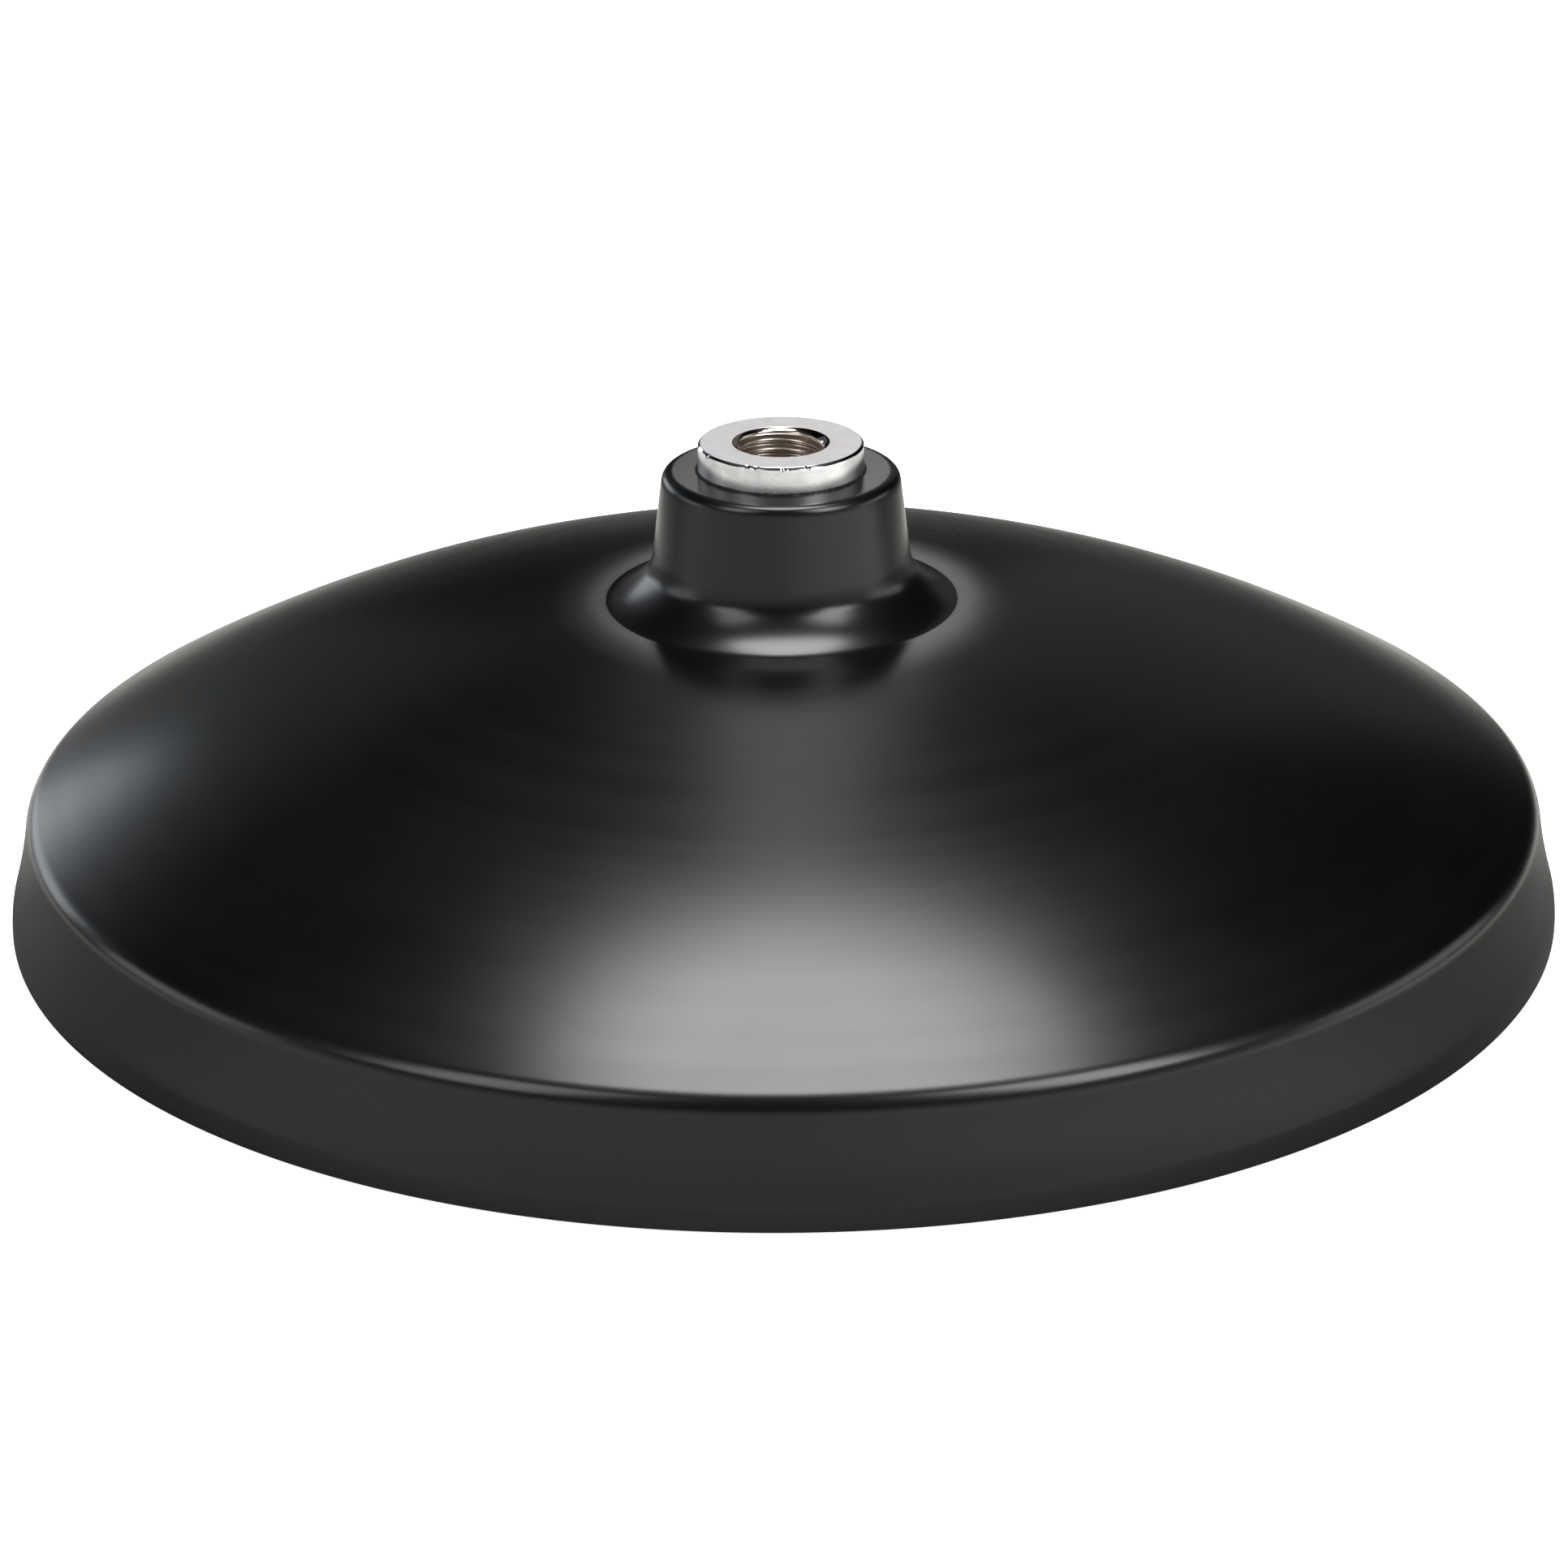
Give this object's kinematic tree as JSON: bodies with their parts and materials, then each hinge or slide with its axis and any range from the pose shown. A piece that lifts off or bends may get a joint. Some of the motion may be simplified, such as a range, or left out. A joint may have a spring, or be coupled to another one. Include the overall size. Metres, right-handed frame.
{
  "type": "sink plunger",
  "caption": "Sink plunger head: a shallow black rubber cup with a flared lip and a short hub that holds a chrome plated, tapped steel insert for a screw-in handle.",
  "frame": {"origin": "centre of the lip's rest plane, on the cup's axis", "axes": "+Z along the cup's axis, from the lip up to the handle thread; the shape is turned round Z, so X and Y are free"},
  "size_m": [0.165, 0.165, 0.0502],
  "materials": {
    "rubber": "satin moulded rubber, near black",
    "chrome": "turned and chrome plated, warm nickel tint in the bore",
    "steel": "pressed steel, phosphated for bonding, not seen"
  },
  "bodies": {
    "cup_body": {"cup": "rubber"},
    "insert": {"threaded_bush": "chrome", "anchor_plate": "steel"}
  },
  "joints": [
    {"name": "plunge_stroke", "type": "slide", "parent": "cup_body", "child": "insert", "axis": [0, 0, 1], "range_m": [-0.015, 0], "stiffness_N_per_m": 3500, "deforming": ["cup"]}
  ]
}
